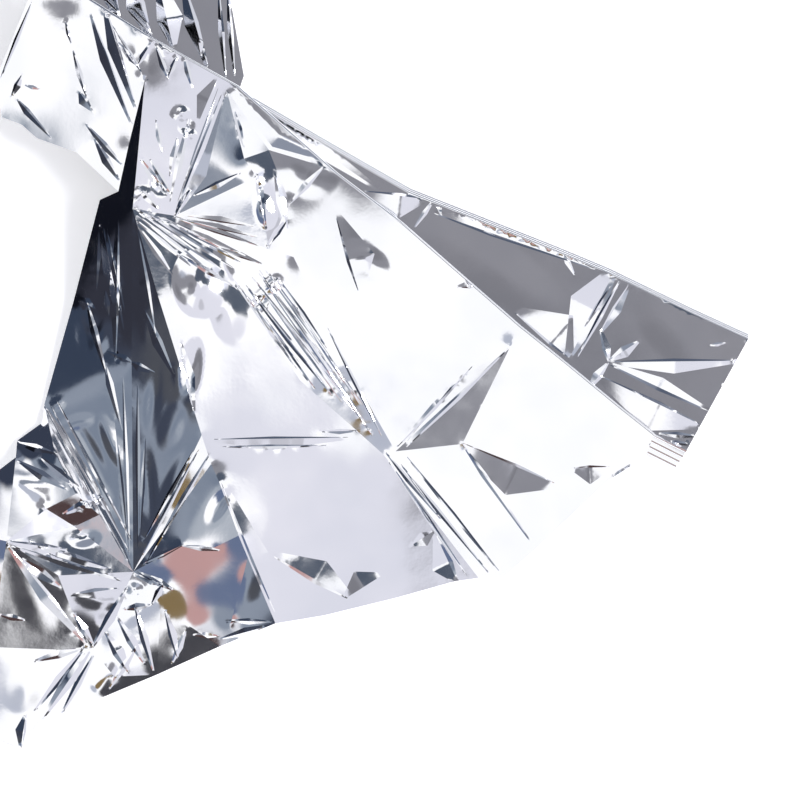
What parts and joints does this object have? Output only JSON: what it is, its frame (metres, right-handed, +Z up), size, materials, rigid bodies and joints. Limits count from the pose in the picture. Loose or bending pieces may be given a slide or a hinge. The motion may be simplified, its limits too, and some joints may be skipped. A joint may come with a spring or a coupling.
{
  "type": "emergency sleeping bag",
  "caption": "Emergency sleeping bag of thin metallised film, part unfolded from its pleats into an open fan and laid on a flat surface.",
  "frame": {"origin": "centre of the underside: middle of the plan box, on the surface the film lies on", "axes": "+Z up from the surface; +X towards the open mouth of the pleats; +Y across them, towards the tight edge of the stack"},
  "size_m": [0.2792, 0.279, 0.0211],
  "materials": {
    "film": "bright aluminium-coated film with fine crinkles"
  },
  "bodies": {
    "root": {"film": "film"}
  },
  "joints": []
}
